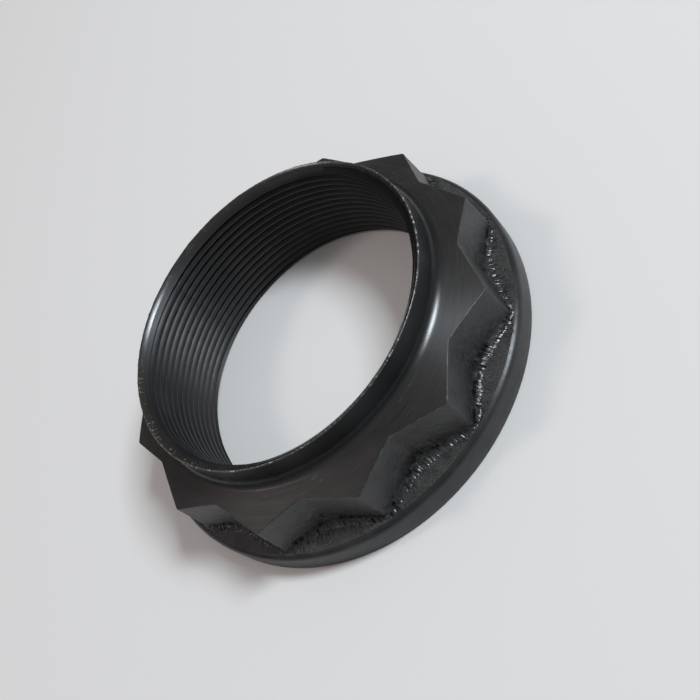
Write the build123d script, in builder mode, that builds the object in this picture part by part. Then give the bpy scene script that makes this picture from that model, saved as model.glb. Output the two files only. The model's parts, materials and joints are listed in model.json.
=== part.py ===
"""Twelve-point flange nut of a wheel hub: one forged and turned piece of steel, in millimetres.

The origin is the centre of the bearing face, and +Z is the axis of the thread, towards the collar.
From the bottom up the nut is a round flange, a twelve-point drive that a conical shoulder cuts
off, and a thin plain collar, which is staked into a groove of the spindle. The bore is a plain
cylinder at the crests of its fine thread.
"""
from build123d import *
import os
from math import cos, radians, tan

# Thread
thread_diameter = 75.0          # nominal size, at the roots of the nut's own thread
thread_pitch = 2.0
crest_depth_per_pitch = 0.5413  # from nominal size to the crests of an ISO internal thread
lead_in = 1.1                   # 45 degree lead-in at the bearing face
mouth_bevel_angle = 40.0        # of the bevel in the collar's mouth, to the bearing face

# Flange
flange_ledge = 1.8              # from the tips of the drive to the rim of the flange
flange_edge = 6.4               # height of the rim
flange_rise = 15.0              # slope of the flange's upper face, in degrees
flange_edge_round = 0.8         # between the rim and the upper face
bearing_edge_chamfer = 0.4      # round the bearing face

# Twelve-point drive, the outline of two hexagons
hexagon_sides = 6
drive_wall = 5.0                # from nominal thread size to the flats, at the shoulder
drive_height = 15.0             # from the rim of the flange to the root of the collar
drive_draft = 2.5               # forging draft of the walls, in degrees
tip_round = 0.4                 # along the twelve outer edges
valley_round = 0.8              # along the twelve inner edges
shoulder_angle = 18.5           # slope of the conical shoulder, in degrees

# Collar
collar_height = 6.8             # from its root to its mouth
collar_wall = 1.4               # from nominal thread size to its outside
collar_root_fillet = 2.6        # between the collar and the shoulder
mouth_land = 0.1                # flat ring at the mouth, beside the bevel
mouth_chamfer = 0.1             # round the outer edge of the mouth

# Two heights or radii closer than this are the same
same_place = 0.01

# Heights above the bearing face, and radii that follow from the sizes above
root_height = flange_edge + drive_height
overall_height = root_height + collar_height
nominal_radius = thread_diameter / 2
crest_radius = nominal_radius - crest_depth_per_pitch * thread_pitch
collar_radius = nominal_radius + collar_wall
bevel_radius = collar_radius - mouth_chamfer - mouth_land
crest_end_height = overall_height - (bevel_radius - crest_radius) * tan(radians(mouth_bevel_angle))
flat_radius = nominal_radius + drive_wall


def shoulder_height_at(radius):
    """Height of the conical shoulder at a radius."""
    return root_height - (radius - collar_radius) * tan(radians(shoulder_angle))


# The walls lean out by the draft on their way down from the shoulder to the flange, and their
# plan is drawn at the bearing face.
draft_slope = tan(radians(drive_draft))
half_side_angle = radians(180 / hexagon_sides)
plan_flat_radius = flat_radius + shoulder_height_at(flat_radius) * draft_slope
plan_valley_radius = plan_flat_radius / cos(half_side_angle / 2)
foot_tip_radius = (plan_flat_radius - flange_edge * draft_slope) / cos(half_side_angle)
flange_radius = foot_tip_radius + flange_ledge


def flange_height_at(radius):
    """Height of the flange's sloped upper face at a radius."""
    return flange_edge + (flange_radius - radius) * tan(radians(flange_rise))


with BuildSketch() as hexagon:
    RegularPolygon(plan_flat_radius, hexagon_sides, major_radius=False)
    fillet(hexagon.vertices(), tip_round)

with BuildPart() as hub_nut:
    # Drive: two hexagons half a step apart, narrowed upwards by the draft.
    with BuildSketch(Plane.XY) as drive_plan:
        add(hexagon.sketch)
        add(hexagon.sketch, rotation=180 / hexagon_sides)
        valleys = drive_plan.vertices().filter_by(
            lambda v: abs(v.center().length - plan_valley_radius) < same_place
        )
        fillet(valleys, valley_round)
    extrude(amount=root_height, taper=drive_draft)

    # Shoulder: what lies under its cone stays.
    with BuildSketch(Plane.XZ):
        with BuildLine():
            Polyline(
                (0, 0),
                (flange_radius, 0),
                (flange_radius, shoulder_height_at(flange_radius)),
                (collar_radius, root_height),
                (0, root_height),
                close=True,
            )
        make_face()
    revolve(axis=Axis.Z, mode=Mode.INTERSECT)

    # Flange, whose upper face slopes up to the drive.
    with BuildSketch(Plane.XZ):
        with BuildLine():
            Polyline(
                (0, 0),
                (flange_radius, 0),
                (flange_radius, flange_edge),
                (crest_radius, flange_height_at(crest_radius)),
                (0, flange_height_at(crest_radius)),
                close=True,
            )
        make_face()
    revolve(axis=Axis.Z)

    # Collar, with its root fillet on the shoulder. It reaches out to the flats at its foot.
    with BuildSketch(Plane.XZ):
        with BuildLine():
            Polyline(
                (0, flange_edge),
                (flat_radius, flange_edge),
                (flat_radius, shoulder_height_at(flat_radius)),
                (collar_radius, root_height),
                (collar_radius, overall_height),
                (0, overall_height),
                close=True,
            )
        make_face()
        root_corner = vertices().sort_by_distance((collar_radius, 0, root_height))[0]
        fillet(root_corner, collar_root_fillet)
    revolve(axis=Axis.Z)

    # Edges of the turned faces: the rim of the flange, the bearing face and the collar's mouth.
    circles = hub_nut.edges().filter_by(GeomType.CIRCLE)
    rim_edges = circles.filter_by(lambda edge: abs(edge.radius - flange_radius) < same_place)
    fillet(rim_edges.sort_by(Axis.Z)[-1], flange_edge_round)
    circles = hub_nut.edges().filter_by(GeomType.CIRCLE)
    chamfer(circles.sort_by(Axis.Z)[0], bearing_edge_chamfer)
    circles = hub_nut.edges().filter_by(GeomType.CIRCLE)
    chamfer(circles.sort_by(Axis.Z)[-1], mouth_chamfer)

    # Bore: the lead-in, the thread's crests, and the bevel that leaves the mouth a thin lip.
    with BuildSketch(Plane.XZ):
        with BuildLine():
            Polyline(
                (0, 0),
                (crest_radius + lead_in, 0),
                (crest_radius, lead_in),
                (crest_radius, crest_end_height),
                (bevel_radius, overall_height),
                (0, overall_height),
                close=True,
            )
        make_face()
    revolve(axis=Axis.Z, mode=Mode.SUBTRACT)

print(f"flange diameter {2 * flange_radius:.2f}, across flats {2 * flat_radius:.2f}")
print(f"crest radius {crest_radius:.4f}, wall from {lead_in:.2f} to {crest_end_height:.4f}")

hub_nut.part.label = "hub_nut"
os.makedirs("parts", exist_ok=True)
export_step(hub_nut.part, "parts/hub_nut.step")
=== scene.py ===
"""Looks of the twelve-point flange nut.

One closed mesh stands for the CAD node. It has the helical thread, the torn ridge along the foot
of the drive and the uneven forged faces, and each zone has its own procedural blackened steel.
Sizes are in millimetres until the mesh is made.
"""
import bpy
import json
import numpy as np
from math import cos, pi, radians, sin, tan
from mathutils import Matrix, Vector


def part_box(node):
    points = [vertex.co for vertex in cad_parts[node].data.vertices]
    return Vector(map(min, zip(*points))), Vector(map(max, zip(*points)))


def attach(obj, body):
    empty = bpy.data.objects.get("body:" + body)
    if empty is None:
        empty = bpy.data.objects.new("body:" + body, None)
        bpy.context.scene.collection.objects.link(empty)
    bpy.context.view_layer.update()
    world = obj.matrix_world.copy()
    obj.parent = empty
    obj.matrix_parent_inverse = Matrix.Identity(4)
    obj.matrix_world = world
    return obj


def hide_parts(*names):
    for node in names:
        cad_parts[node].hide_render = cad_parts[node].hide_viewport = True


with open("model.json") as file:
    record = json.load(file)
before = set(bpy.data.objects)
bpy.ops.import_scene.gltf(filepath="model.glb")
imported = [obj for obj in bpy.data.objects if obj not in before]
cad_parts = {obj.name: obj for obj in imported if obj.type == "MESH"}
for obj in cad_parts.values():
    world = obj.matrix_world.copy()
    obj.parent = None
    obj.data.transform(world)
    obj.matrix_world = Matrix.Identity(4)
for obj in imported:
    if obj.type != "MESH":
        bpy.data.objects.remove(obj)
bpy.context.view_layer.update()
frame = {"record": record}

NODE = "hub_nut"
PIECE = "hub_nut_dressed"
MM = 0.001

# ---- Sizes that the frame gives ----------------------------------------------------------------
box_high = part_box(NODE)[1]
FLANGE_RADIUS = box_high.x / MM
HEIGHT = box_high.z / MM
thread_mount = next(m for m in frame["record"]["mounts"] if m["name"] == "thread")
CREST_RADIUS = thread_mount["dims"]["r_mm"]

# ---- Sizes of the nut, as in the part where nothing else is said -------------------------------
PITCH = 2.0
CREST_DEPTH_PER_PITCH = 0.5413
LEAD_IN = 1.1
NOMINAL_RADIUS = CREST_RADIUS + CREST_DEPTH_PER_PITCH * PITCH

FLANGE_EDGE = 6.4
FLANGE_ANGLE = radians(15.0)
FLANGE_SLOPE = tan(FLANGE_ANGLE)
EDGE_ROUND = 1.6                    # more than the part's, as the rim is worn
BEARING_CHAMFER = 0.3               # less than the part's

STEP = 30.0                         # degrees from tip to tip
DRIVE_WALL = 5.0
FLAT_RADIUS = NOMINAL_RADIUS + DRIVE_WALL
DRAFT_SLOPE = tan(radians(2.5))
SHOULDER_ANGLE = radians(18.5)
SHOULDER_SLOPE = tan(SHOULDER_ANGLE)

COLLAR_HEIGHT = 6.8
COLLAR_WALL = 1.4
COLLAR_RADIUS = NOMINAL_RADIUS + COLLAR_WALL
ROOT_HEIGHT = HEIGHT - COLLAR_HEIGHT
ROOT_FILLET = 2.6
MOUTH_ROUND = 0.25                  # in place of the part's chamfer
MOUTH_LIP = 0.3                     # from the collar's outside to the bevel in the mouth
BEVEL_RADIUS = COLLAR_RADIUS - MOUTH_LIP
BEVEL_SLOPE = tan(radians(40.0))

PLAN_FLAT_RADIUS = FLAT_RADIUS + DRAFT_SLOPE * (
    ROOT_HEIGHT - (FLAT_RADIUS - COLLAR_RADIUS) * SHOULDER_SLOPE
)

# ---- Columns: angles round the axis, closer together at the tips and valleys -------------------
HALF_STEP = STEP / 2
COLUMNS_PER_HALF = 36
CROWDING = 0.45
half = np.arange(COLUMNS_PER_HALF) / COLUMNS_PER_HALF
half = (half - CROWDING * np.sin(2 * pi * half) / (2 * pi)) * HALF_STEP
degrees = np.concatenate([half + k * HALF_STEP for k in range(round(360 / HALF_STEP))])
angle = np.radians(degrees)
COLUMNS = len(angle)
full = np.ones(COLUMNS)


def eased(share):
    """A share from 0 to 1 that starts and ends softly."""
    return share * share * (3 - 2 * share)


def cells_round(cells):
    """The cell of every column, with so many cells in a turn, and its eased place in the cell."""
    place = angle / (2 * pi) * cells
    cell = np.floor(place).astype(int)
    return cell, eased(place - cell)


def ring_noise(cells, seed):
    """Smooth noise from -1 to 1 round the axis, with so many cells in a turn."""
    values = np.random.default_rng(seed).uniform(-1, 1, cells)
    cell, share = cells_round(cells)
    return values[cell % cells] * (1 - share) + values[(cell + 1) % cells] * share


def sheet_noise(cells, place, seed):
    """Smooth noise from -1 to 1 over the turn and over place, an array of one value a column."""
    layers = int(np.max(place)) + 3
    values = np.random.default_rng(seed).uniform(-1, 1, (layers, cells))
    cell, share = cells_round(cells)
    layer = np.floor(place).astype(int)
    rise = eased(place - layer)
    low, high = (
        values[level, cell % cells] * (1 - share) + values[level, (cell + 1) % cells] * share
        for level in (layer, layer + 1)
    )
    return low * (1 - rise) + high * rise


# ---- Plan of the drive -------------------------------------------------------------------------
from_tip = np.abs((degrees + HALF_STEP) % STEP - HALF_STEP)
from_valley = HALF_STEP - from_tip

# Degrees over which the corners of the plan are rounded
TIP_WIDTH = 0.22
VALLEY_WIDTH_AT_TOP = 0.35
VALLEY_WIDTH_AT_FOOT = 2.0


def corner_shift(distance, width):
    """How far a corner's rounding moves a point at this distance from it."""
    return np.sqrt(distance**2 + width**2) - distance


def flat_cosine(valley_width):
    """Cosine of the angle to the normal of the nearest flat, eased at tips and valleys."""
    turn = from_tip + corner_shift(from_tip, TIP_WIDTH)
    turn = turn - corner_shift(from_valley, valley_width)
    return np.cos(np.radians(STEP - turn))


def cosine_up_wall(share):
    """The same cosine at a share of the way from the wide valleys to the narrow ones."""
    return flat_cosine(
        VALLEY_WIDTH_AT_FOOT + (VALLEY_WIDTH_AT_TOP - VALLEY_WIDTH_AT_FOOT) * share
    )


def flange_top(radius):
    return FLANGE_EDGE + (FLANGE_RADIUS - radius) * FLANGE_SLOPE


def shoulder_top(radius):
    return ROOT_HEIGHT - (radius - COLLAR_RADIUS) * SHOULDER_SLOPE


def wall_radius(height, cosine):
    return (PLAN_FLAT_RADIUS - height * DRAFT_SLOPE) / cosine


# Where the walls meet the flange and the shoulder
top_cosine = flat_cosine(VALLEY_WIDTH_AT_TOP)
foot_cosine = flat_cosine(VALLEY_WIDTH_AT_FOOT)
foot_radius = (
    PLAN_FLAT_RADIUS - DRAFT_SLOPE * (FLANGE_EDGE + FLANGE_RADIUS * FLANGE_SLOPE)
) / (foot_cosine - DRAFT_SLOPE * FLANGE_SLOPE)
foot_height = flange_top(foot_radius)
top_radius = (
    PLAN_FLAT_RADIUS - DRAFT_SLOPE * (ROOT_HEIGHT + COLLAR_RADIUS * SHOULDER_SLOPE)
) / (top_cosine - DRAFT_SLOPE * SHOULDER_SLOPE)
top_height = shoulder_top(top_radius)

# ---- Rows: rings of points from the bearing face up the outside and into the mouth -------------
rows = []           # (radius, height, wear and glint, torn) for every column
zones = []          # the zone of the band below each row


def add_row(zone, radius, height, wear_and_glint=0.0, torn=0.0):
    rows.append((radius * full, height * full, wear_and_glint * full, torn * full))
    zones.append(zone)


# Rim of the flange, whose turned face waves a little
RIM_WAVE = 0.025
RIM_WEAR = 0.3
uneven = RIM_WAVE * (ring_noise(19, seed=1) - 1)
add_row("bearing", FLANGE_RADIUS - BEARING_CHAMFER + uneven, 0.0)
add_row("rim", FLANGE_RADIUS + uneven, BEARING_CHAMFER, RIM_WEAR)
ROUND_TURN = pi / 2 - FLANGE_ANGLE
round_tangent = EDGE_ROUND * tan(ROUND_TURN / 2)
rim_top = FLANGE_EDGE - round_tangent
for share in (0.35, 0.7, 1.0):
    add_row("rim", FLANGE_RADIUS + uneven, BEARING_CHAMFER + (rim_top - BEARING_CHAMFER) * share)
for share in (0.2, 0.4, 0.6, 0.8, 1.0):
    turn = share * ROUND_TURN
    radius = FLANGE_RADIUS + uneven - EDGE_ROUND * (1 - cos(turn))
    add_row("rim", radius, rim_top + EDGE_ROUND * sin(turn))

# Foot of the drive: metal that the dies dragged covers a strip of the ledge, wider in the valleys
VALLEY_REACH = 8.0                  # degrees from a valley that it still affects
STRIP, STRIP_IN_VALLEY, STRIP_UNEVEN = 1.1, 0.5, 0.3
STRIP_SHARE_MOST = 0.72             # of the ledge
edge_radius = FLANGE_RADIUS - round_tangent * cos(FLANGE_ANGLE)
ledge = edge_radius - foot_radius
valley_share = np.clip(1 - from_valley / VALLEY_REACH, 0, 1)
strip = np.minimum(
    STRIP + STRIP_IN_VALLEY * valley_share**2 + STRIP_UNEVEN * ring_noise(90, seed=4),
    STRIP_SHARE_MOST * ledge,
)

# Upper face of the flange, rough from forging, from the rim to that strip
FLANGE_ROWS = 9
FLANGE_START = 0.985                # share of the way out to the rim's rounding
STREAK_DEPTH, PIT_DEPTH = 0.06, 0.05
CALM_EDGE = 0.8                     # beside the rim, where the roughness fades
TORN_REACH = 2.4                    # from the drive's foot


def flange_roughness(distance):
    streaks = sheet_noise(420, distance / 1.6, seed=8)
    streaks = streaks + 0.6 * sheet_noise(700, distance / 0.5, seed=9)
    pits = sheet_noise(260, distance / 0.45, seed=10)
    fade = np.clip((ledge - distance) / CALM_EDGE, 0, 1)
    return (STREAK_DEPTH * streaks + PIT_DEPTH * pits) * fade


for k in range(FLANGE_ROWS):
    distance = strip + (ledge - strip) * (1 - k / FLANGE_ROWS) * FLANGE_START
    radius = foot_radius + distance
    add_row("flange", radius, flange_top(radius) + flange_roughness(distance),
            torn=np.exp(-((distance / TORN_REACH) ** 2)))

# The dragged metal itself: a wrinkled lip between a hollow and a straight slope
BEADS = 176
BEAD_SHIFT = 0.7
BEAD_FILL = 1.15
LEAN = 0.14
STRIP_RISE = 0.85                   # height of the lip over its width
RIDGE_SHARE = 0.7                   # of the way up, where the wall's finish begins
WALL_START = 0.15                   # share of the change of the valleys' width
bead_place = angle / (2 * pi) * BEADS + BEAD_SHIFT * ring_noise(BEADS // 2, seed=5)
bead = np.abs(np.sin(pi * bead_place)) ** 0.8 * (0.85 + 0.35 * ring_noise(131, seed=6))
lean = LEAN * ring_noise(157, seed=21)
strip_radius = foot_radius + strip
strip_height = flange_top(strip_radius) + flange_roughness(strip)
wall_foot_height = foot_height + strip * STRIP_RISE
wall_foot_radius = wall_radius(wall_foot_height, cosine_up_wall(WALL_START))
for share in (0.12, 0.24, 0.36, 0.48, 0.6, 0.73, 0.87, 1.0):
    start, middle, end = (1 - share) ** 2, 2 * share * (1 - share), share**2
    hollow_radius = strip_radius * start + foot_radius * middle + wall_foot_radius * end
    hollow_height = strip_height * start + foot_height * middle + wall_foot_height * end
    straight_radius = strip_radius + (wall_foot_radius - strip_radius) * share
    straight_height = strip_height + (wall_foot_height - strip_height) * share
    filled = BEAD_FILL * bead + lean * sin(2 * pi * share)
    add_row("ridge" if share < RIDGE_SHARE else "wall",
            hollow_radius + (straight_radius - hollow_radius) * filled,
            hollow_height + (straight_height - hollow_height) * filled, torn=1.0)

# Walls of the drive, smooth at the top and torn towards the foot
WALL_END = 0.22                     # below the edge of the shoulder
TEAR_REACH = 3.0
wall_top = top_height - WALL_END
for share in (0.05, 0.12, 0.2, 0.3, 0.42, 0.55, 0.7, 0.85, 0.96):
    height = wall_foot_height + (wall_top - wall_foot_height) * share
    above = height - foot_height
    cosine = cosine_up_wall(WALL_START + (1 - WALL_START) * min(1, share * 1.2))
    tearing = np.exp(-above / TEAR_REACH) * (0.4 + 0.6 * valley_share)
    rough = tearing * (0.13 * sheet_noise(330, above / 1.2, seed=13)
                       + 0.07 * sheet_noise(560, above / 0.8, seed=14))
    add_row("wall", wall_radius(height, cosine) + rough, height,
            torn=np.clip(1.5 * tearing, 0, 1))

# Edge of the shoulder: a fine bevel, worn along its length and painted bright, part wear and part
# painted highlight
EDGE_BEVEL = 0.13
EDGE_INSET, EDGE_DROP = 0.30, 0.22  # of the worn line between the wall and the shoulder
nick = 0.5 + 0.5 * ring_noise(380, seed=15)
bevel = EDGE_BEVEL * (0.7 + 0.6 * nick**2)
add_row("wall", wall_radius(top_height - bevel, top_cosine), top_height - bevel)
add_row("edge", top_radius - bevel * EDGE_INSET, top_height - bevel * EDGE_DROP, 0.5 * nick)
add_row("edge", top_radius - bevel, shoulder_top(top_radius - bevel))

# Conical shoulder, which starts with a narrow band, then the fillet at the root of the collar
SHOULDER_ROWS = 9
SHOULDER_BAND = 0.15
FILLET_ROWS = 8
fillet_tangent = ROOT_FILLET * tan((pi / 2 - SHOULDER_ANGLE) / 2)
shoulder_end = COLLAR_RADIUS + fillet_tangent * cos(SHOULDER_ANGLE)
collar_foot = ROOT_HEIGHT + fillet_tangent
radius = top_radius - bevel - SHOULDER_BAND
add_row("shoulder", radius, shoulder_top(radius))
for k in range(2, SHOULDER_ROWS + 1):
    share = k / SHOULDER_ROWS
    radius = (top_radius - bevel) * (1 - share) + shoulder_end * share
    add_row("shoulder", radius, shoulder_top(radius))
start_turn = 1.5 * pi - SHOULDER_ANGLE
for k in range(1, FILLET_ROWS + 1):
    turn = start_turn + (pi - start_turn) * k / FILLET_ROWS
    radius = COLLAR_RADIUS + ROOT_FILLET + ROOT_FILLET * cos(turn)
    add_row("collar", radius, collar_foot + ROOT_FILLET * sin(turn))

# Collar, with a thin irregular burr round its mouth
COLLAR_WAVE, BURR, NICK_DEPTH = 0.03, 0.11, 0.05
BURR_TURN = 20                      # degrees by which the burr leans outwards
MOUTH_MARGIN = 0.3
LIP_DROP = 0.03
wave = COLLAR_WAVE * ring_noise(17, seed=16)
burr = np.clip(ring_noise(210, seed=17) + 0.6 * ring_noise(420, seed=18) - 0.15, 0, None)
nicks = NICK_DEPTH * np.clip(ring_noise(330, seed=20) - 0.2, 0, None)
for share in (0.3, 0.6, 0.92):
    height = collar_foot + (HEIGHT - MOUTH_MARGIN - collar_foot) * share
    add_row("collar", COLLAR_RADIUS + wave * share, height)
for turn in (0.0, 22.0, 45.0, 68.0):
    push = wave + BURR * burr * sin(radians(turn + BURR_TURN)) - nicks
    radius = COLLAR_RADIUS - MOUTH_ROUND * (1 - cos(radians(turn))) + push
    height = HEIGHT - MOUTH_ROUND * (1 - sin(radians(turn))) - 0.5 * nicks
    add_row("collar" if turn == 0 else "mouth", radius, height, 0.2 + 0.8 * (burr > 0.05))
add_row("mouth", BEVEL_RADIUS + 0.04 + wave, HEIGHT - nicks, 0.3)
add_row("mouth", BEVEL_RADIUS + wave, HEIGHT - LIP_DROP - nicks, 0.2)

# Bevel in the mouth, slightly crowned, down to where the thread starts
THREAD_START_RADIUS = NOMINAL_RADIUS + 0.03
BEVEL_CROWN = 0.05
CROWN_INWARD, CROWN_UPWARD = 0.64, 0.77     # direction of the bevel's normal
bevel_drop = (BEVEL_RADIUS - THREAD_START_RADIUS) * BEVEL_SLOPE
for share in (0.1, 0.3, 0.5, 0.75, 1.0):
    crown = BEVEL_CROWN * sin(pi * share)
    radius = BEVEL_RADIUS + (THREAD_START_RADIUS - BEVEL_RADIUS) * share - crown * CROWN_INWARD
    height = HEIGHT - bevel_drop * share + crown * CROWN_UPWARD
    add_row("bevel", radius + wave * (1 - share), height)

# ---- Thread: lines that follow the helix, cut off by the bevel and the lead-in -----------------
LINES = ((0.0, False), (0.34, False), (0.68, True))     # share of the pitch, and if at the root
MARGIN = 0.10                                           # kept free at both ends
CREST_WAVE = 0.025
thread_top = HEIGHT - bevel_drop
turns = int(HEIGHT / PITCH) + 3
crest = CREST_RADIUS + CREST_WAVE * ring_noise(130, seed=19)
line_points = [{} for _ in range(COLUMNS)]              # the point of each line in a column
thread_points = []                                      # (radius, height, angle, wear and glint, torn)
for column in range(COLUMNS):
    climb = PITCH * angle[column] / (2 * pi)
    for turn in range(-1, turns):
        for k, (share, at_root) in enumerate(LINES):
            height = thread_top + climb - PITCH * (turn + share)
            if not MARGIN < height < thread_top - MARGIN:
                continue
            radius = max(
                NOMINAL_RADIUS if at_root else crest[column],
                BEVEL_RADIUS - (HEIGHT - height) / BEVEL_SLOPE,
                CREST_RADIUS + LEAD_IN - height,
            )
            line_points[column][turn * len(LINES) + k] = len(thread_points)
            thread_points.append((radius, height, angle[column], 0.0, 0.0))

# ---- Points: the rings, then the thread, then the foot of the bore -----------------------------
ring_count = len(rows)
radii, heights, wear_and_glint, torn = (np.array([row[k] for row in rows]) for k in range(4))


def in_order(of_rings, of_thread, of_foot):
    """One list of what the rings, the thread's points and the foot of the bore hold."""
    return np.concatenate([of_rings.ravel(), [p[of_thread] for p in thread_points], of_foot])


all_radii = in_order(radii, 0, (CREST_RADIUS + LEAD_IN) * full)
all_heights = in_order(np.minimum(heights, HEIGHT), 1, 0 * full)
all_angles = in_order(np.tile(angle, (ring_count, 1)), 2, angle)
all_wear_and_glint = in_order(wear_and_glint, 3, 0 * full)
all_torn = in_order(torn, 4, 0 * full)
points = np.column_stack(
    [all_radii * np.cos(all_angles), all_radii * np.sin(all_angles), all_heights]
) * MM

# ---- Faces: column by column, up the outside, down the bore and across the bearing face --------
thread_start = ring_count * COLUMNS
foot_start = thread_start + len(thread_points)
top_row = (ring_count - 1) * COLUMNS
faces = []
face_zones = []


def add_face(zone, *corners):
    faces.append(corners)
    face_zones.append(zone)


for column in range(COLUMNS):
    beside = (column + 1) % COLUMNS
    for row in range(ring_count - 1):
        low, high = row * COLUMNS, (row + 1) * COLUMNS
        add_face(zones[row + 1], low + column, low + beside, high + beside, high + column)
    # A helix is one turn further on where the columns close
    wrap = len(LINES) if beside == 0 else 0
    here = {line: thread_start + i for line, i in line_points[column].items()}
    there = {line + wrap: thread_start + i for line, i in line_points[beside].items()}
    common = sorted(set(here) & set(there))
    first, last = common[0], common[-1]
    # Lines that end between two columns become further corners of the end faces
    above_there = [there[line] for line in sorted(there) if line < first]
    above_here = [here[line] for line in sorted(here, reverse=True) if line < first]
    add_face("bore", top_row + column, top_row + beside, *above_there, there[first],
             here[first], *above_here)
    for line, under in zip(common, common[1:]):
        add_face("bore", here[line], there[line], there[under], here[under])
    below_there = [there[line] for line in sorted(there) if line > last]
    below_here = [here[line] for line in sorted(here, reverse=True) if line > last]
    add_face("bore", here[last], there[last], *below_there, foot_start + beside,
             foot_start + column, *below_here)
    add_face("bearing", foot_start + column, foot_start + beside, beside, column)


def direction(azimuth, elevation=0.0):
    """Unit vector towards an azimuth and an elevation in degrees."""
    az, el = radians(azimuth), radians(elevation)
    return Vector((cos(el) * cos(az), cos(el) * sin(az), sin(el)))


# ---- Materials ---------------------------------------------------------------------------------
MIX_FACTOR, MIX_A, MIX_B, MIX_RESULT = 0, 6, 7, 2       # sockets of a Mix node for colours
# Painted shade, near black, for the creases of the wrinkles along the drive's foot
CREASE_SHADE_BLACK = (0.0035, 0.0035, 0.0035)
DUST_COLOR = (0.34, 0.32, 0.29)
RADIALLY = 0.25                     # anisotropic rotation that spreads a glint along the radius


class Steel:
    """A node tree for one finish of the blackened steel."""

    def __init__(self, name):
        self.material = bpy.data.materials.new(name)
        self.material.use_nodes = True
        self.tree = self.material.node_tree
        self.tree.nodes.clear()
        self.shader = self.add("ShaderNodeBsdfPrincipled")
        self.feed(self.shader.outputs["BSDF"], self.add("ShaderNodeOutputMaterial"), "Surface")
        self.bump_from = None
        self.place = self.scaled(self.add("ShaderNodeTexCoord").outputs["Object"], 1 / MM)

    # Nodes and links

    def add(self, kind, **settings):
        node = self.tree.nodes.new(kind)
        for key, value in settings.items():
            setattr(node, key, value)
        return node

    def feed(self, source, node, name):
        """Give an input a number, a colour or another node's output."""
        if isinstance(source, tuple):
            node.inputs[name].default_value = (*source, 1)
        elif isinstance(source, (int, float)):
            node.inputs[name].default_value = source
        else:
            self.tree.links.new(source, node.inputs[name])

    def math(self, operation, a, b):
        node = self.add("ShaderNodeMath", operation=operation)
        self.feed(a, node, 0)
        self.feed(b, node, 1)
        return node.outputs[0]

    def times(self, a, b):
        return self.math("MULTIPLY", a, b)

    def level(self, value, amount, base):
        """The value times an amount, on top of a base."""
        return self.math("ADD", self.times(value, amount), base)

    def ramp(self, value, low, high, at_low=0.0, at_high=1.0):
        """A smooth step between two values."""
        node = self.add("ShaderNodeMapRange", interpolation_type="SMOOTHSTEP")
        self.feed(value, node, "Value")
        self.feed(low, node, "From Min")
        self.feed(high, node, "From Max")
        self.feed(at_low, node, "To Min")
        self.feed(at_high, node, "To Max")
        return node.outputs["Result"]

    def mix(self, share, a, b):
        node = self.add("ShaderNodeMix", data_type="RGBA")
        self.feed(share, node, MIX_FACTOR)
        self.feed(a, node, MIX_A)
        self.feed(b, node, MIX_B)
        return node.outputs[MIX_RESULT]

    # Places, in millimetres

    def scaled(self, vector, factor):
        node = self.add("ShaderNodeVectorMath", operation="SCALE")
        self.feed(vector, node, "Vector")
        self.feed(factor, node, "Scale")
        return node.outputs["Vector"]

    def joined(self, x, y, z=0.0):
        node = self.add("ShaderNodeCombineXYZ")
        for name, value in zip("XYZ", (x, y, z)):
            self.feed(value, node, name)
        return node.outputs[0]

    def split(self):
        """The place's x, y and z."""
        node = self.add("ShaderNodeSeparateXYZ")
        self.feed(self.place, node, 0)
        return node.outputs

    def toward(self, azimuth):
        """Distance from the axis towards an azimuth."""
        node = self.add("ShaderNodeVectorMath", operation="DOT_PRODUCT")
        self.feed(self.place, node, 0)
        node.inputs[1].default_value = direction(azimuth)
        return node.outputs["Value"]

    def lathe(self, across, along):
        """Coordinates that change fast over the radius and the height, slowly round the axis."""
        x, y, z = self.split()
        length = self.add("ShaderNodeVectorMath", operation="LENGTH")
        self.feed(self.joined(x, y), length, 0)
        radial = self.math("ADD", length.outputs["Value"], z)
        return self.joined(self.times(radial, across), self.times(x, along), self.times(y, along))

    def radial(self, around, along):
        """Coordinates that change fast round the axis and slowly along a radius."""
        x, y, _ = self.split()
        unit = self.add("ShaderNodeVectorMath", operation="NORMALIZE")
        self.feed(self.joined(x, y), unit, 0)
        both = self.add("ShaderNodeVectorMath", operation="ADD")
        self.feed(self.scaled(unit.outputs[0], around), both, 0)
        self.feed(self.scaled(self.place, along), both, 1)
        return both.outputs[0]

    # Patterns, from 0 to 1

    def carried(self, name):
        """A value that the points of the mesh carry."""
        return self.add("ShaderNodeAttribute", attribute_name=name).outputs["Fac"]

    def noise(self, scale, detail=3, rough=0.55, place=None):
        node = self.add("ShaderNodeTexNoise")
        self.feed(place or self.place, node, "Vector")
        self.feed(scale, node, "Scale")
        self.feed(detail, node, "Detail")
        self.feed(rough, node, "Roughness")
        return node.outputs["Fac"]

    def patches(self, scale, low, high, detail=3, rough=0.55):
        """Areas where a noise lies above a level, with soft borders."""
        return self.ramp(self.noise(scale, detail, rough), low, high)

    def turning_marks(self, across, along, detail=3, rough=0.6):
        """Fine lines that a lathe leaves round the axis."""
        return self.noise(1.0, detail, rough, self.lathe(across, along))

    def wrinkles(self, around, along, detail=4, rough=0.65):
        """Folds that run along the radii."""
        return self.noise(1.0, detail, rough, self.radial(around, along))

    def specks(self, cells, size, share):
        """Small dots, one in some of the cells."""
        node = self.add("ShaderNodeTexVoronoi")
        self.feed(self.place, node, "Vector")
        self.feed(cells, node, "Scale")
        dots = self.ramp(node.outputs["Distance"], size, size * 0.6)
        chosen = self.add("ShaderNodeSeparateColor")
        self.feed(node.outputs["Color"], chosen, 0)
        return self.times(dots, self.ramp(chosen.outputs[0], 1 - share, 1 - share + 0.02))

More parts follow.
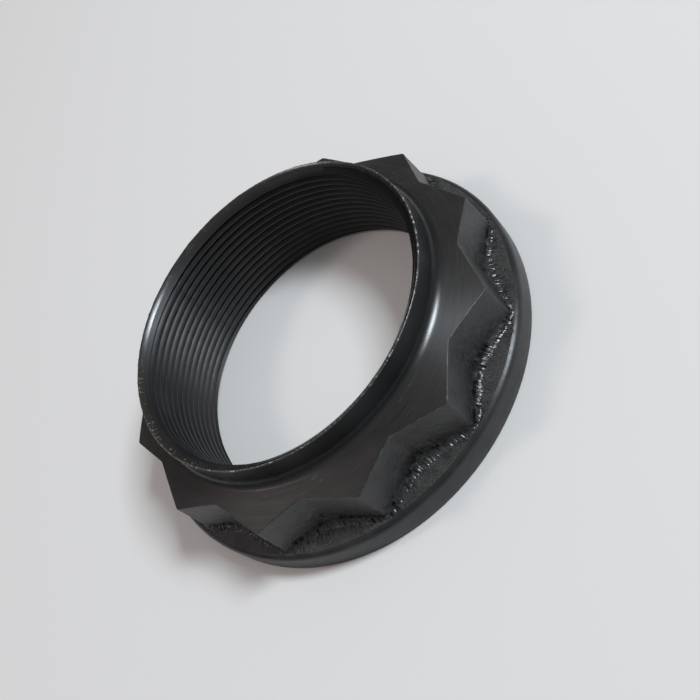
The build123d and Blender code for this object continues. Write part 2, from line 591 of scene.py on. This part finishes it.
    def scratches(self, turn, density):
        """Sparse thin lines in one direction."""
        aim = self.add("ShaderNodeMapping")
        self.feed(self.place, aim, "Vector")
        aim.inputs["Rotation"].default_value = (0.3, -0.2, radians(turn))
        aim.inputs["Scale"].default_value = (0.10, 4.5, 4.5)
        lines = self.ramp(self.noise(1.0, 1, 0.3, aim.outputs["Vector"]), 0.74, 0.78)
        return self.times(lines, self.patches(0.11, 1 - density, 1.02 - density, detail=2))

    # Parts of the shader

    def bump(self, height, depth):
        """Add relief of a depth in millimetres to what is there."""
        node = self.add("ShaderNodeBump")
        self.feed(1.0, node, "Strength")
        self.feed(depth * MM, node, "Distance")
        self.feed(height, node, "Height")
        if self.bump_from is not None:
            self.feed(self.bump_from, node, "Normal")
        self.bump_from = node.outputs["Normal"]

    def dulled(self, specular, crease_shade):
        """A specular level that falls to almost nothing where the painted crease shade is one."""
        return self.times(self.math("SUBTRACT", 1.0, self.times(crease_shade, 0.9)), specular)

    def finish(self, color, roughness, specular, turned=0.0, dust=0.5):
        """Join the colour, the gloss and the bump; a turned face spreads its glints radially."""
        specks = self.times(self.specks(cells=0.36, size=0.06, share=0.16), dust)
        self.feed(self.mix(specks, color, DUST_COLOR), self.shader, "Base Color")
        self.feed(roughness, self.shader, "Roughness")
        self.feed(0.0, self.shader, "Metallic")
        self.feed(specular, self.shader, "Specular IOR Level")
        if turned:
            tangent = self.add("ShaderNodeTangent", direction_type="RADIAL", axis="Z")
            self.feed(tangent.outputs["Tangent"], self.shader, "Tangent")
            self.feed(turned, self.shader, "Anisotropic")
            self.feed(RADIALLY, self.shader, "Anisotropic Rotation")
        self.feed(self.bump_from, self.shader, "Normal")
        return self.material


def turned_rim():
    """Rim of the flange and the bearing face."""
    steel = Steel("turned_rim")
    patches = steel.patches(0.15, 0.35, 0.7, detail=4)
    color = steel.mix(patches, (0.015, 0.0155, 0.0165), (0.028, 0.029, 0.0315))
    steel.bump(steel.turning_marks(3.0, 0.08), 0.015)
    steel.bump(steel.noise(0.8), 0.03)
    return steel.finish(color, steel.level(steel.noise(0.8), 0.2, 0.27), 0.5, turned=0.6)


def forged_flange():
    """Rough upper face of the flange, with grain, radial streaks and painted shade in the creases
    by the foot.
    """
    steel = Steel("forged_flange")
    drag = steel.wrinkles(110.0, 0.7)
    wrinkles = steel.wrinkles(80.0, 0.5, detail=3, rough=0.6)
    grain = steel.noise(2.6, 5, 0.7)
    torn = steel.carried("torn")
    patches = steel.patches(0.25, 0.35, 0.68, detail=4)
    color = steel.mix(patches, (0.0170, 0.0160, 0.0150), (0.046, 0.0430, 0.0400))
    lit = steel.times(steel.ramp(grain, 0.46, 0.62), 0.7)
    color = steel.mix(lit, color, (0.115, 0.107, 0.098))
    # Painted shade: the troughs of the wrinkles near the drive's foot are darkened to near black.
    crease_shade = steel.times(torn, steel.ramp(wrinkles, 0.50, 0.40))
    color = steel.mix(crease_shade, color, CREASE_SHADE_BLACK)
    steel.bump(drag, 0.30)
    steel.bump(grain, 0.60)
    steel.bump(steel.times(wrinkles, torn), 0.45)
    return steel.finish(color, steel.level(grain, 0.25, 0.38), steel.dulled(1.0, crease_shade))


def torn_ridge():
    """Dark glossy wrinkles along the drive's foot, across its line, with painted shade in the
    creases.
    """
    steel = Steel("torn_ridge")
    wrinkles = steel.wrinkles(70.0, 0.25, detail=1, rough=0.4)
    patches = steel.patches(0.8, 0.35, 0.68, detail=4)
    color = steel.mix(patches, (0.0115, 0.0117, 0.0123), (0.022, 0.0228, 0.0250))
    # Painted shade: the creases between the wrinkles are darkened to near black.
    ridge_crease_shade = steel.ramp(wrinkles, 0.42, 0.30)
    color = steel.mix(ridge_crease_shade, color, CREASE_SHADE_BLACK)
    steel.bump(wrinkles, 0.30)
    steel.bump(steel.noise(1.3, 3, 0.5), 0.12)
    rough = steel.level(steel.noise(1.5), 0.16, 0.20)
    return steel.finish(color, rough, steel.dulled(0.9, ridge_crease_shade))


def forged_wall():
    """Satin walls of the drive, torn and darker towards the foot, where the darkening is painted
    shade.
    """
    steel = Steel("forged_wall")
    wrinkles = steel.wrinkles(70.0, 0.45)
    patches = steel.patches(0.16, 0.36, 0.66, detail=4, rough=0.6)
    color = steel.mix(patches, (0.0085, 0.0085, 0.0090), (0.021, 0.0208, 0.0216))
    here_and_there = steel.ramp(steel.noise(0.30, 2), 0.36, 0.58, at_low=0.15)
    torn = steel.times(steel.carried("torn"), here_and_there)
    # Painted shade: the wall is darkened near its foot, most of all in the troughs of the
    # wrinkles.
    crease_shade = steel.times(torn, steel.ramp(wrinkles, 0.70, 0.42))
    color = steel.mix(crease_shade, color, (0.0035, 0.0035, 0.0037))
    # Bright line along the worn edge: part real wear, part painted highlight.
    rubbed_and_glinting = steel.times(steel.carried("wear_and_glint"), steel.patches(1.1, 0.48, 0.58, 5, 0.7))
    color = steel.mix(rubbed_and_glinting, color, (0.27, 0.275, 0.285))
    steel.bump(steel.noise(4.5, 4, 0.65), 0.035)
    steel.bump(steel.noise(1.0, 4, 0.6), 0.16)
    steel.bump(steel.times(wrinkles, torn), 0.7)
    rough = steel.level(steel.noise(0.6), 0.2, 0.34)
    return steel.finish(color, rough, steel.dulled(0.7, crease_shade))


def turned_shoulder():
    """Satin cone with fine turning marks, a brownish cast and a few scratches."""
    steel = Steel("turned_shoulder")
    marks = steel.turning_marks(9.0, 0.10)
    patches = steel.patches(0.07, 0.35, 0.65)
    color = steel.mix(patches, (0.0155, 0.0139, 0.0129), (0.025, 0.0222, 0.0205))
    lit = steel.times(steel.ramp(marks, 0.45, 0.7), 0.6)
    color = steel.mix(lit, color, (0.044, 0.0405, 0.038))
    for turn in (25, 140):
        scratches = steel.times(steel.scratches(turn, density=0.40), 0.6)
        color = steel.mix(scratches, color, (0.20, 0.19, 0.175))
    steel.bump(marks, 0.020)
    steel.bump(steel.noise(5.0, 2), 0.012)
    rough = steel.level(steel.turning_marks(1.6, 0.03, detail=2, rough=0.5), 0.16, 0.37)
    return steel.finish(color, rough, 0.45, turned=0.8)


def turned_collar():
    """Smooth black outside of the collar, more polished in the fillet at its root."""
    steel = Steel("turned_collar")
    height = steel.split()[2]
    patches = steel.patches(0.09, 0.35, 0.7)
    color = steel.mix(patches, (0.0055, 0.0057, 0.0062), (0.009, 0.0096, 0.0105))
    shine = steel.ramp(height, collar_foot - 1.75, collar_foot - 1.05, 0.8, 0.3)
    polish = steel.ramp(height, ROOT_HEIGHT + 0.4, collar_foot + 1.5, 0.23, 0.33)
    steel.bump(steel.turning_marks(6.0, 0.05), 0.008)
    return steel.finish(color, steel.level(steel.noise(0.5), 0.10, polish), shine, turned=0.7)


def mouth_wear_and_glint():
    """Thin rounded lip of the collar, with a bright burr, part rubbed metal and part painted
    highlight.
    """
    steel = Steel("mouth_wear_and_glint")
    patches = steel.patches(0.5, 0.40, 0.66, detail=4, rough=0.6)
    color = steel.mix(patches, (0.012, 0.0120, 0.0118), (0.040, 0.0375, 0.034))
    # Bright burr: part real rubbed wear, part painted highlight.
    rubbed_and_glinting = steel.times(steel.carried("wear_and_glint"), steel.patches(1.3, 0.52, 0.60, 5, 0.75))
    color = steel.mix(rubbed_and_glinting, color, (0.52, 0.50, 0.46))
    steel.bump(steel.noise(2.5, 4, 0.65), 0.025)
    return steel.finish(color, steel.level(patches, 0.15, 0.24), 0.9)


STAIN_AZIMUTH = 22.0                # where the mouth is stained brown
STAIN_START = 26.0                  # how far that way the stain begins
STAIN_FULL = 33.0


def turned_bevel():
    """Bright smooth bevel in the mouth, stained brown and chipped on one side."""
    steel = Steel("turned_bevel")
    patches = steel.patches(0.5, 0.50, 0.74, detail=4, rough=0.6)
    color = steel.mix(patches, (0.0085, 0.0087, 0.0090), (0.028, 0.0255, 0.0225))
    side = steel.ramp(steel.toward(STAIN_AZIMUTH), STAIN_START, STAIN_FULL)
    color = steel.mix(steel.times(side, 0.5), color, (0.030, 0.027, 0.022))
    clusters = steel.times(side, steel.patches(0.22, 0.42, 0.56, detail=2))
    chips = steel.times(steel.patches(1.5, 0.57, 0.64, detail=4, rough=0.8), clusters)
    color = steel.mix(chips, color, (0.30, 0.265, 0.21))
    steel.bump(steel.turning_marks(5.0, 0.05), 0.006)
    return steel.finish(color, steel.level(patches, 0.05, 0.26), 0.8, turned=0.3)


def cut_thread():
    """Oily dark bore."""
    steel = Steel("cut_thread")
    patches = steel.patches(0.08, 0.35, 0.7)
    color = steel.mix(patches, (0.0105, 0.0103, 0.0110), (0.019, 0.0182, 0.0190))
    steel.bump(steel.turning_marks(5.0, 0.06), 0.010)
    rough = steel.level(steel.noise(0.5), 0.15, 0.40)
    return steel.finish(color, rough, 0.5, turned=0.5, dust=0.25)


ZONE_MATERIALS = {
    "bearing": turned_rim(),
    "flange": forged_flange(),
    "ridge": torn_ridge(),
    "wall": forged_wall(),
    "shoulder": turned_shoulder(),
    "collar": turned_collar(),
    "mouth": mouth_wear_and_glint(),
    "bevel": turned_bevel(),
    "bore": cut_thread(),
}
ZONE_ORDER = list(ZONE_MATERIALS)
SHARED_ZONES = {"rim": "bearing", "edge": "wall"}
SHARP_ANGLE = radians(70)


def make_nut():
    """The closed mesh with its zones, its wear-and-glint marks and smooth shading."""
    mesh = bpy.data.meshes.new(PIECE)
    mesh.from_pydata(points.tolist(), [], faces)
    for material in ZONE_MATERIALS.values():
        mesh.materials.append(material)
    slots = [ZONE_ORDER.index(SHARED_ZONES.get(zone, zone)) for zone in face_zones]
    mesh.polygons.foreach_set("material_index", slots)
    mesh.polygons.foreach_set("use_smooth", [True] * len(faces))
    for name, values in (("wear_and_glint", all_wear_and_glint), ("torn", all_torn)):
        attribute = mesh.attributes.new(name, "FLOAT", "POINT")
        attribute.data.foreach_set("value", values.astype(np.float32))
    mesh.update()
    mesh.set_sharp_from_angle(angle=SHARP_ANGLE)
    nut = bpy.data.objects.new(PIECE, mesh)
    bpy.context.scene.collection.objects.link(nut)
    return nut


nut = make_nut()
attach(nut, "root")
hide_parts(NODE)

# ---- Floor, light and camera, in metres --------------------------------------------------------
FLOOR_HALF = 4.0
FLOOR_COLOR = (0.82, 0.80, 0.78)
SKY_COLOR = (1.0, 0.985, 0.965)
SKY_LOW, SKY_HIGH = 0.10, 1.0       # sine of the elevation where the sky's light changes
SKY_LOW_STRENGTH, SKY_HIGH_STRENGTH = 0.05, 0.36
LAMP_DISTANCE = 1.8

# The photograph's view of the nut, in degrees, and in flange radii from the bearing face's centre
VIEW_AZIMUTH, VIEW_ELEVATION, VIEW_ROLL = 110.88, 46.22, 51.43
VIEW_DISTANCE = 4.146
VIEW_AIM = (-0.1288, 0.1140, 0.1240)
LENS = 46.77


def make_floor():
    """Plain pale floor, which keeps the shadow of the nut."""
    material = bpy.data.materials.new("pale_floor")
    material.use_nodes = True
    shader = material.node_tree.nodes["Principled BSDF"]
    shader.inputs["Base Color"].default_value = (*FLOOR_COLOR, 1)
    shader.inputs["Roughness"].default_value = 0.9
    shader.inputs["Specular IOR Level"].default_value = 0.1
    corners = [
        (x * FLOOR_HALF, y * FLOOR_HALF, 0) for x, y in ((-1, -1), (1, -1), (1, 1), (-1, 1))
    ]
    mesh = bpy.data.meshes.new("floor")
    mesh.from_pydata(corners, [], [(0, 1, 2, 3)])
    mesh.materials.append(material)
    floor = bpy.data.objects.new("floor", mesh)
    bpy.context.scene.collection.objects.link(floor)


def make_world():
    """Even studio light that is stronger from above than from the sides."""
    world = bpy.data.worlds.new("studio")
    world.use_nodes = True
    tree = world.node_tree
    background = tree.nodes["Background"]
    place = tree.nodes.new("ShaderNodeTexCoord")
    split = tree.nodes.new("ShaderNodeSeparateXYZ")
    tree.links.new(place.outputs["Generated"], split.inputs[0])
    strength = tree.nodes.new("ShaderNodeMapRange")
    strength.interpolation_type = "SMOOTHSTEP"
    strength.inputs["From Min"].default_value = SKY_LOW
    strength.inputs["From Max"].default_value = SKY_HIGH
    strength.inputs["To Min"].default_value = SKY_LOW_STRENGTH
    strength.inputs["To Max"].default_value = SKY_HIGH_STRENGTH
    tree.links.new(split.outputs[2], strength.inputs["Value"])
    tree.links.new(strength.outputs["Result"], background.inputs["Strength"])
    background.inputs["Color"].default_value = (*SKY_COLOR, 1)
    bpy.context.scene.world = world


def make_lamp(name, azimuth, elevation, size, power, color):
    """A soft square lamp that looks at the nut from a direction."""
    data = bpy.data.lights.new(name, "AREA")
    data.shape = "SQUARE"
    data.size = size
    data.energy = power
    data.color = color
    lamp = bpy.data.objects.new(name, data)
    back = direction(azimuth, elevation)
    lamp.location = back * LAMP_DISTANCE + Vector((0, 0, HEIGHT * MM / 2))
    lamp.rotation_euler = back.to_track_quat("Z", "Y").to_euler()
    bpy.context.scene.collection.objects.link(lamp)


def make_camera():
    """The photograph's viewing angle: close, above the nut and rolled to one side."""
    roll = radians(VIEW_ROLL)
    back = direction(VIEW_AZIMUTH, VIEW_ELEVATION)
    level_right = Vector((0, 0, 1)).cross(back).normalized()
    level_up = back.cross(level_right)
    up = level_up * cos(roll) + level_right * sin(roll)
    turn = Matrix((up.cross(back), up, back)).transposed().to_4x4()
    distance = VIEW_DISTANCE * FLANGE_RADIUS * MM
    place = Vector(VIEW_AIM) * FLANGE_RADIUS * MM + back * distance
    data = bpy.data.cameras.new("camera")
    data.lens = LENS
    data.sensor_width = 36.0
    data.clip_start = 0.01
    camera = bpy.data.objects.new("camera", data)
    camera.matrix_world = Matrix.Translation(place) @ turn
    bpy.context.scene.collection.objects.link(camera)
    bpy.context.scene.camera = camera


make_floor()
make_world()
make_lamp("key", azimuth=174.0, elevation=48.0, size=0.50, power=25.5, color=(0.84, 0.93, 1.0))
make_lamp("fill", azimuth=338.0, elevation=54.0, size=0.36, power=4.6, color=(1.0, 0.85, 0.87))
make_camera()
bpy.context.scene.view_settings.view_transform = "Standard"
